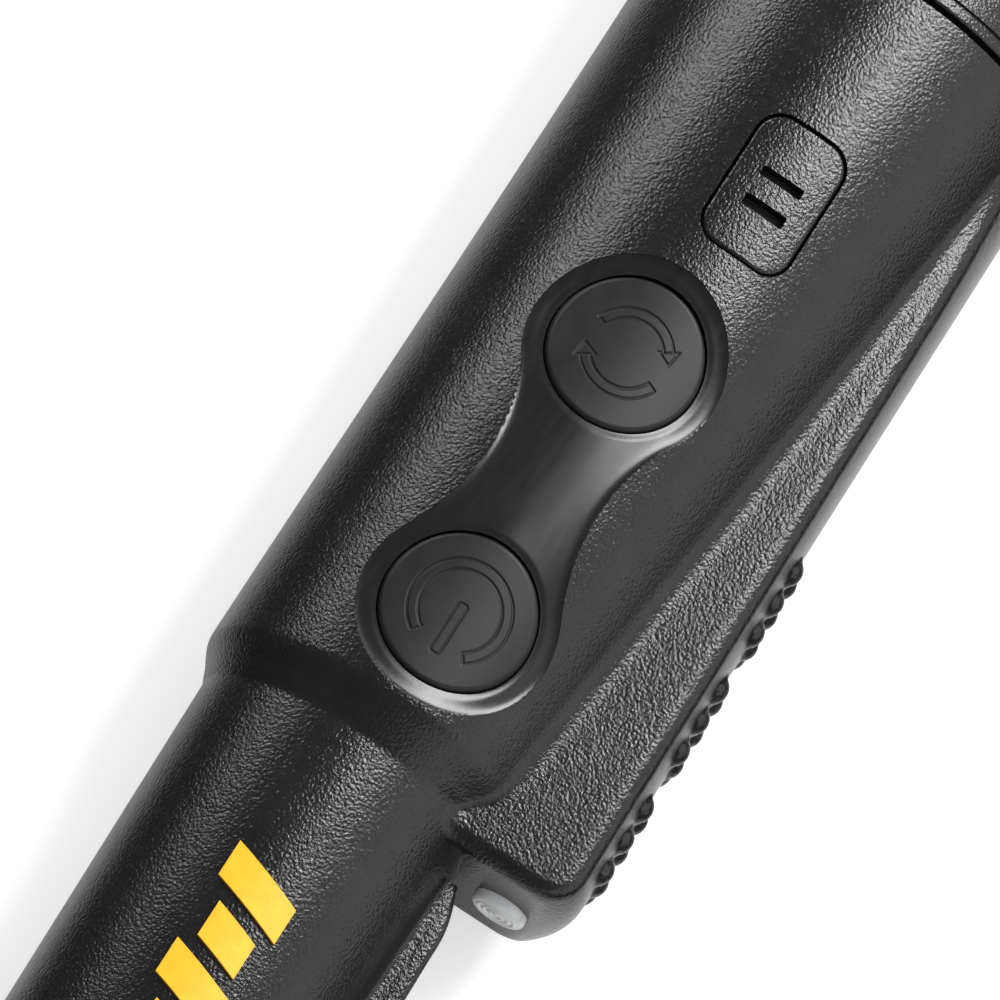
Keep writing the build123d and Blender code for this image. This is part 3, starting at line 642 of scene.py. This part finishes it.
def build_shells():
    upper = shell_half("shell_top", 1)
    cut(upper, prism("tool", peanut_outline(BEZEL_R, BEZEL_WAIST), *CUT_SPAN))
    cover_hole = rounded_rectangle(COVER_X, COVER_Y, COVER_L + 2 * COVER_GAP, COVER_W + 2 * COVER_GAP,
                                   COVER_CORNER + COVER_GAP)
    cut(upper, prism("tool", cover_hole, *CUT_SPAN))
    lower = shell_half("shell_bottom", -1)
    for shell, node in ((upper, "upper_shell"), (lower, "lower_shell")):
        cut(shell, lens_tool())
        shade_by_angle(shell, 40.0)
        give(shell, "body_plastic")
        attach(shell, "housing")
        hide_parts(node)


def lens_tool():
    """Round hole in the keel's nose for the lens."""
    tool = prism("tool", circle_outline(0.0, 0.0, LENS_R + 0.06, 96), 0.0, 5.0)
    turn = Matrix.Rotation(math.radians(90), 4, "Y")
    tool.data.transform(Matrix.Translation(Vector((107.5, LED_Y, 0.0)) * MM) @ turn)
    return tool


# ---- Bezel, cover and keys --------------------------------------------------------------------
def bezel_top(x, y):
    """The dish: steep at its edge, then a gentle fall towards its middle line."""
    depth = np.maximum(peanut_inside(x, y), 0.0)
    fall = 0.04 + 0.42 * (1.0 - np.exp(-depth / 0.6)) + 0.18 * smooth_step(depth / 5.0)
    near_key = np.minimum(np.hypot(x - POWER_X, y - KEY_Y), np.hypot(x - RETUNE_X, y - KEY_Y))
    lip = 0.10 * smooth_step((KEY_HOLE_R + 0.6 - near_key) / 0.6)
    return barrel_top(x, y) - fall - lip


def build_bezel():
    pad = 1.0
    bezel = plate("bezel_dish", (BEZEL_LOW[0] - pad, BEZEL_HIGH[0] + pad),
                  (BEZEL_LOW[1] - pad, BEZEL_HIGH[1] + pad), 0.16, bezel_top, 1.2)
    gap = 0.02
    outline = peanut_outline(BEZEL_R - gap, BEZEL_WAIST - gap)
    cut(bezel, prism("tool", outline, *CUT_SPAN), "INTERSECT")
    for x in (POWER_X, RETUNE_X):
        cut(bezel, prism("tool", circle_outline(x, KEY_Y, KEY_HOLE_R, 160), *CUT_SPAN))
    shade_by_angle(bezel, 40.0)
    give(bezel, "bezel_plastic")
    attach(bezel, "housing")
    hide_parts("button_bezel")


def rounding(into, radius):
    """Drop of a rounded edge of this radius, at this distance into the rounding."""
    into = np.clip(into, 0.0, radius)
    return radius - np.sqrt(np.maximum(radius ** 2 - into ** 2, 0.0))


def cover_top(x, y):
    depth = rectangle_inside(x, y, COVER_X, COVER_Y, COVER_L, COVER_W, COVER_CORNER)
    edge = 0.3
    return barrel_top(x, y) - 0.06 - rounding(edge - depth, edge)


SLOTS = ((-1.25, 1.0), (1.8, 1.2))    # place along the cover and width of each sound slot
SLOT_LENGTH = 4.2


def build_cover():
    pad = 0.5
    cover = plate("speaker_grille", (COVER_LOW[0] - pad, COVER_HIGH[0] + pad),
                  (COVER_LOW[1] - pad, COVER_HIGH[1] + pad), 0.11, cover_top, 1.4)
    outline = rounded_rectangle(COVER_X, COVER_Y, COVER_L, COVER_W, COVER_CORNER)
    cut(cover, prism("tool", outline, *CUT_SPAN), "INTERSECT")
    for offset, width in SLOTS:
        slot = rounded_rectangle(COVER_X + offset, COVER_Y, width, SLOT_LENGTH, 0.15, 4)
        cut(cover, prism("tool", slot, *CUT_SPAN))
    shade_by_angle(cover, 40.0)
    give(cover, "body_plastic")
    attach(cover, "housing")
    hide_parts("speaker_cover")


KEY_RIM_R = 0.45
KEY_FLATNESS = 0.25       # share of the barrel's curve that a key's face gives up
KEY_FOOT_Z = 12.7
SIGN_HALF_WIDTH = 0.45
SIGN_GROOVE = (0.24, 0.12)    # width and depth of the grooves that outline a sign
POWER_RING_R = 4.15
RETUNE_RING_R = 3.65


def groove(distance, width, depth):
    """Depth of a soft-sided groove at this distance from its middle line."""
    return depth * (1.0 - smooth_step((np.abs(distance) - width * 0.2) / (width * 0.45)))


def band_distance(x, y, radius, half_width, mid_angle, half_span):
    """Distance to the outline of a curved band about the origin."""
    r = np.hypot(x, y)
    angle = np.arctan2(y, x) - mid_angle
    angle = np.abs((angle + math.pi) % (2 * math.pi) - math.pi)
    along = (angle - half_span) * radius
    across = np.abs(r - radius) - half_width
    return rounded_overlap(along, across, 0.05)


def power_sign(x, y):
    """Broken ring, open towards the tip, and a bar, as outlines."""
    ring = band_distance(x, y, POWER_RING_R, 0.47, math.pi, math.radians(145.0))
    bar = rounded_overlap(np.abs(x - 1.9) - 2.5, np.abs(y) - SIGN_HALF_WIDTH, 0.3)
    return np.maximum(groove(ring, *SIGN_GROOVE), groove(bar, *SIGN_GROOVE))


def retune_sign(x, y):
    """Two bands that chase each other, each with an arrow head."""
    lines = np.zeros_like(x)
    for turn in (0.0, math.pi):
        middle = math.radians(185.5) + turn
        band = band_distance(x, y, RETUNE_RING_R, SIGN_HALF_WIDTH, middle, math.radians(62.0))
        head_angle = math.radians(119.5) + turn
        cos, sin = math.cos(head_angle), math.sin(head_angle)
        from_x, from_y = x - RETUNE_RING_R * cos, y - RETUNE_RING_R * sin
        along = from_x * sin - from_y * cos
        across = np.abs(from_x * cos + from_y * sin)
        head = np.maximum(-along - 0.3, across * 0.8 + along * 0.6 - 0.52)
        lines = np.maximum(lines, groove(np.minimum(band, head), *SIGN_GROOVE))
    return lines


def key_mesh(name, key_x, sign):
    """A round key: dense rings over the top, a rounded rim and a plain side."""
    flat_r = KEY_R - KEY_RIM_R
    over_rim = flat_r + KEY_RIM_R * np.sin(np.linspace(0.0, math.pi / 2, 10))[1:]
    rings = np.concatenate([np.linspace(0.02, flat_r, 120), over_rim])
    turns = np.linspace(0.0, 2 * math.pi, 384, endpoint=False)
    gr, ga = np.meshgrid(rings, turns, indexing="ij")
    x, y = gr * np.cos(ga), gr * np.sin(ga)
    flat = barrel_top(np.full_like(x, key_x), np.full_like(x, KEY_Y))
    curved = barrel_top(x + key_x, y + KEY_Y)
    face = curved + KEY_FLATNESS * (flat - curved) - KEY_SINK
    z = face - rounding(gr - flat_r, KEY_RIM_R) - sign(x, y)
    top = np.stack([x + key_x, y + KEY_Y, z], -1).reshape(-1, 3)
    n, m = gr.shape
    foot = top[-m:].copy()
    foot[:, 2] = KEY_FOOT_Z
    middle = np.array([[key_x, KEY_Y, z[0].mean()], [key_x, KEY_Y, KEY_FOOT_Z]])
    points = np.concatenate([top, foot, middle])
    faces = [tuple(reversed(f)) for f in grid_faces(n + 1, m, closed=True)]
    centre, base = n * m + m, n * m + m + 1
    for j in range(m):
        k = (j + 1) % m
        faces.append((centre, j, k))
        faces.append((base, n * m + k, n * m + j))
    key = new_object(name, points, faces)
    fix_mesh(key)
    shade_by_angle(key, 50.0)
    return key


def build_keys():
    for name, key_x, sign, body, node in (
            ("power_key_top", POWER_X, power_sign, "power_key", "power_button"),
            ("retune_key_top", RETUNE_X, retune_sign, "retune_key", "retune_button")):
        key = key_mesh(name, key_x, sign)
        give(key, "key_rubber")
        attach(key, body)
        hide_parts(node)


# ---- Lens, marks and cap ------------------------------------------------------------------------
LENS_RIM_R = 0.45
LENS_RING_STEP = 0.62
LENS_RING_HEIGHT = 0.06


def build_lens():
    """Clear window with fine rings, as a turned form about its own axis."""
    back = LENS_LOW[0]
    face = LENS_HIGH[0]
    rings = np.linspace(0.0, LENS_R, 60)
    rim = rounding(rings - (LENS_R - LENS_RIM_R), LENS_RIM_R)
    fade = smooth_step((LENS_R - 0.3 - rings) / 0.3)
    ripple = LENS_RING_HEIGHT * np.cos(rings * 2 * math.pi / LENS_RING_STEP) * fade
    profile_x = face - 0.07 - rim + ripple - 0.02 * rings ** 2
    profile = [(px, r) for px, r in zip(profile_x, rings)] + [(back, LENS_R), (back, 0.0)]
    lens = lathe("led_window", profile, LED_Y, 0.0, 96)
    give(lens, "clear_lens")
    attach(lens, "housing")
    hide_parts("led_lens")


def lathe(name, profile, y, z, count):
    """Turns a profile of (x, radius) points about an axis along X."""
    profile = np.asarray(profile)
    turns = np.linspace(0.0, 2 * math.pi, count, endpoint=False)
    px, pr = profile[:, 0][:, None], np.maximum(profile[:, 1], 0.0005)[:, None]
    points = np.stack([px + 0 * turns, y + pr * np.cos(turns), z + pr * np.sin(turns)], -1)
    rows = len(profile)
    obj = new_object(name, points.reshape(-1, 3), grid_faces(rows, count, closed=True))
    fix_mesh(obj)
    shade_by_angle(obj, 35.0)
    return obj


CAP_FLOOR_X = 5.2
CAP_BORE_R = 18.32
CAP_SEAT_R = 18.8         # groove in the bore for the rubber ring
CAP_SEAT_SPAN = (23.0, 24.6)
CAP_EDGE_R = 1.5
CAP_MOUTH_R = 0.25
CAP_RIBS = 12
CAP_RIB_R = 1.6
CAP_RIB_CENTRE_R = 19.7
CAP_RIB_SPAN = (7.0, 16.5)
CAP_GROOVE_X = 24.52
LANYARD_X, LANYARD_Y, LANYARD_R = 2.6, 16.2, 1.5
LUG_HALF = 2.0
LUG_DEPTH = 4.4
LUG_FOOT_Y = 14.3


def cap_outer(x, angle):
    """Outer radius of the cap: rounded rear edge, twelve grip ribs and a fine groove."""
    rear = rounding(CAP_EDGE_R - x, CAP_EDGE_R)
    front = rounding(x - (CAP_HIGH[0] - CAP_MOUTH_R), CAP_MOUTH_R)
    base = GRIP_R - rear - front
    step = 2 * math.pi / CAP_RIBS
    offset = (angle + math.radians(75.0) + step / 2) % step - step / 2
    across = offset * CAP_RIB_CENTRE_R
    past = np.maximum(np.maximum(CAP_RIB_SPAN[0] - x, x - CAP_RIB_SPAN[1]), 0.0)
    rise = np.sqrt(np.maximum(CAP_RIB_R ** 2 - across ** 2 - past ** 2, 0.0))
    ribbed = np.where(rise > 0.0, np.maximum(base, CAP_RIB_CENTRE_R + rise), base)
    return ribbed - groove(x - CAP_GROOVE_X, 0.3, 0.3)


def cap_stations():
    """Places along X for the cap's rings, closer together at its edges, rib ends and groove."""
    runs = [(1.8, 5.2, 0.3), (5.3, 8.0, 0.12), (8.0, 15.5, 0.5), (15.5, 18.2, 0.12), (18.4, 24.0, 0.4),
            (24.2, 24.85, 0.04), (24.9, 25.4, 0.1)]
    xs = [CAP_EDGE_R - CAP_EDGE_R * np.cos(np.linspace(0.0, math.pi / 2, 12))]
    xs += [np.arange(a, b, step) for a, b, step in runs]
    xs.append(CAP_HIGH[0] - CAP_MOUTH_R + CAP_MOUTH_R * np.sin(np.linspace(0.0, math.pi / 2, 7)))
    return np.concatenate(xs)


def build_cap():
    xs = cap_stations()
    turns = np.linspace(0.0, 2 * math.pi, 720, endpoint=False)
    gx, ga = np.meshgrid(xs, turns, indexing="ij")
    radius = cap_outer(gx, ga)
    outer = np.stack([gx, radius * np.cos(ga), radius * np.sin(ga)], -1)
    seat_rear, seat_front = CAP_SEAT_SPAN
    inner_profile = [(CAP_HIGH[0], CAP_BORE_R), (seat_front, CAP_BORE_R), (seat_front, CAP_SEAT_R),
                     (seat_rear, CAP_SEAT_R), (seat_rear, CAP_BORE_R), (CAP_FLOOR_X, CAP_BORE_R),
                     (CAP_FLOOR_X, 0.001)]

    def ring(x, r):
        return np.stack([np.full_like(turns, x), r * np.cos(turns), r * np.sin(turns)], -1)[None]

    points = np.concatenate([ring(0.0, 0.001), outer] + [ring(x, r) for x, r in inner_profile])
    faces = grid_faces(len(points), len(turns), closed=True)
    cap = new_object("cap_body", points.reshape(-1, 3), faces)
    fix_mesh(cap)
    for z in (-GRIP_R, LUG_HALF):
        beside_lug = rounded_rectangle(LUG_DEPTH - 4.0, LUG_FOOT_Y + 6.0, 8.0, 12.0, 0.6, 6)
        cut(cap, prism("tool", beside_lug, z, z + GRIP_R - LUG_HALF))
    cut(cap, prism("tool", circle_outline(LANYARD_X, LANYARD_Y, LANYARD_R, 48), -3.0, 3.0))
    shade_by_angle(cap, 40.0)
    give(cap, "body_plastic")
    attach(cap, "cap")
    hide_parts("battery_cap")


def soften_edges(obj, width_mm):
    """Rounds a carried-over node's sharp edges."""
    bevel = obj.modifiers.new("soft_edges", "BEVEL")
    bevel.width = width_mm * MM
    bevel.segments = 2
    bevel.limit_method = "ANGLE"
    bevel.angle_limit = math.radians(40)
    bevel.harden_normals = True


def dress_cad_nodes():
    slots = {row["node"]: row["material_slot"] for row in frame["record"]["subparts"]}
    for name, obj in NODES.items():
        if not obj.hide_render:
            give(obj, slots[name])
    soften_edges(NODES["depth_marks"], 0.12)


# ---- Stage, light and camera --------------------------------------------------------------------
def build_stage():
    """A plain floor. The object rests on the cap's ribs and on the tip, so the floor leans a little."""
    lean = math.atan2(9.6, 212.0)
    mesh = bpy.data.meshes.new("floor")
    size = 1.6
    corners = [(-size, -size, 0), (size, -size, 0), (size, size, 0), (-size, size, 0)]
    mesh.from_pydata(corners, [], [(0, 1, 2, 3)])
    floor = bpy.data.objects.new("floor", mesh)
    bpy.context.scene.collection.objects.link(floor)
    floor.location = (0.012, 0.0, -0.0208)
    floor.rotation_euler = (0.0, -lean, 0.0)
    floor.data.materials.append(floor_paper())


def floor_paper():
    """White paper to the camera; to the object's gloss it shows a painted pool of light, bright near the
    object and dim further out.
    """
    m = Nodes("floor_paper")
    tone = m.noise(0.02, detail=3.0)
    colour = m.ramp(tone, [(0.3, (0.60, 0.60, 0.60)), (0.7, (0.63, 0.63, 0.63))])
    m.shader.inputs["Emission Color"].default_value = (1.0, 1.0, 1.0, 1.0)
    m.shader.inputs["Emission Strength"].default_value = 0.5
    m.finish(colour, 0.6, m.bump(m.noise(1.0), 0.03, 0.05))
    split = m.add("ShaderNodeSeparateXYZ")
    m.link(m.place, split.inputs["Vector"])
    away = m.math("MULTIPLY", m.math("ABSOLUTE", split.outputs["Y"]), 10.0)
    # Painted pool of light: the floor that the object's gloss sees is painted bright near the object and
    # dark further out.
    near = m.ramp(away, [(0.15, (0.85, 0.85, 0.85)), (0.55, (0.05, 0.05, 0.05))])
    painted_light_floor = m.add("ShaderNodeBsdfDiffuse")
    m.link(near, painted_light_floor.inputs["Color"])
    mix = m.add("ShaderNodeMixShader")
    m.link(m.add("ShaderNodeLightPath").outputs["Is Camera Ray"], mix.inputs["Fac"])
    m.link(painted_light_floor.outputs["BSDF"], mix.inputs[1])
    m.link(m.shader.outputs["BSDF"], mix.inputs[2])
    m.link(mix.outputs["Shader"], m.tree.nodes["Material Output"].inputs["Surface"])
    return m.material


def softbox(name, turn, distance, along, width, radiance, gloss=True):
    """A soft panel over the object, turned about its axis from straight up towards +Y.

    along is the panel's span in X, from the cap's end towards the tip.
    """
    light = bpy.data.lights.new(name, "AREA")
    light.shape = "RECTANGLE"
    length = along[1] - along[0]
    light.size, light.size_y = length, width
    light.energy = radiance * math.pi * length * width
    lamp = bpy.data.objects.new(name, light)
    bpy.context.scene.collection.objects.link(lamp)
    angle = math.radians(turn)
    out = Vector((0.0, math.sin(angle), math.cos(angle)))
    side = Vector((0.0, math.cos(angle), -math.sin(angle)))
    middle = Vector(((along[0] + along[1]) / 2, -0.004, 0.0))
    place = Matrix((Vector((1.0, 0.0, 0.0)), side, out)).transposed().to_4x4()
    lamp.matrix_world = Matrix.Translation(middle + out * distance) @ place
    lamp.visible_glossy = gloss


ROOM_DIM = 0.18           # brightness of the room, and of its wall on the keel's side
ROOM_WALL = 1.25
WALL_SPAN = (20.0, 60.0)  # degrees from straight up over which the wall begins


def build_world():
    """Dim room with a broad grey wall on the keel's side; plain white where the camera sees it."""
    world = bpy.data.worlds.new("studio")
    world.use_nodes = True
    tree = world.node_tree
    place = tree.nodes.new("ShaderNodeTexCoord")
    split = tree.nodes.new("ShaderNodeSeparateXYZ")
    tree.links.new(place.outputs["Generated"], split.inputs["Vector"])
    turn = tree.nodes.new("ShaderNodeMath")
    turn.operation = "ARCTAN2"
    tree.links.new(split.outputs["Y"], turn.inputs[0])
    tree.links.new(split.outputs["Z"], turn.inputs[1])
    wall = tree.nodes.new("ShaderNodeMapRange")
    wall.interpolation_type = "SMOOTHSTEP"
    wall_start, wall_full = (math.radians(degrees) for degrees in WALL_SPAN)
    for name, value in (("From Min", wall_start), ("From Max", wall_full),
                        ("To Min", ROOM_DIM), ("To Max", ROOM_WALL)):
        wall.inputs[name].default_value = value
    tree.links.new(turn.outputs[0], wall.inputs["Value"])
    room = tree.nodes["Background"]
    room.inputs["Color"].default_value = (1.0, 1.0, 1.0, 1.0)
    tree.links.new(wall.outputs["Result"], room.inputs["Strength"])
    white = tree.nodes.new("ShaderNodeBackground")
    mix = tree.nodes.new("ShaderNodeMixShader")
    tree.links.new(tree.nodes.new("ShaderNodeLightPath").outputs["Is Camera Ray"], mix.inputs["Fac"])
    tree.links.new(room.outputs["Background"], mix.inputs[1])
    tree.links.new(white.outputs["Background"], mix.inputs[2])
    tree.links.new(mix.outputs["Shader"], tree.nodes["World Output"].inputs["Surface"])
    bpy.context.scene.world = world


def build_light():
    softbox("left_box", -64.0, 0.45, (-0.50, -0.04), 0.17, 7.0)
    softbox("right_box", 19.0, 0.45, (-0.50, -0.05), 0.17, 18.0)
    softbox("table_box", 0.0, 1.1, (-0.8, 0.9), 1.6, 1.2, gloss=False)
    build_world()
    bpy.context.scene.view_settings.view_transform = "Standard"


CAMERA_LEAN = 0.32        # sine of the view's lean from straight down
ROLL_SIN, ROLL_COS = 0.5446, 0.8387    # the handle's slant across the picture
VIEW_WIDTH = 0.0879       # metres across the picture at the target
VIEW_TARGET = (0.0797, -0.00535, 0.0)


def build_camera():
    """A long lens that looks down on the buttons, leaning a little to the tip's side."""
    cosine = math.sqrt(1 - CAMERA_LEAN ** 2)
    to_camera = Vector((CAMERA_LEAN, 0.0, cosine))
    along = Vector((-cosine, 0.0, CAMERA_LEAN))
    across = Vector((0.0, 1.0, 0.0))
    right = ROLL_SIN * along + ROLL_COS * across
    up = ROLL_COS * along - ROLL_SIN * across
    camera = bpy.data.cameras.new("camera")
    camera.lens = 300.0
    camera.sensor_width = 36.0
    distance = camera.lens * VIEW_WIDTH / camera.sensor_width
    target = Vector(VIEW_TARGET)
    obj = bpy.data.objects.new("camera", camera)
    bpy.context.scene.collection.objects.link(obj)
    turn = Matrix((right, up, to_camera)).transposed().to_4x4()
    obj.matrix_world = Matrix.Translation(target + to_camera * distance) @ turn
    camera.clip_start = 0.01
    bpy.context.scene.camera = obj


build_shells()
build_bezel()
build_cover()
build_keys()
build_lens()
build_cap()
dress_cad_nodes()
build_stage()
build_light()
build_camera()
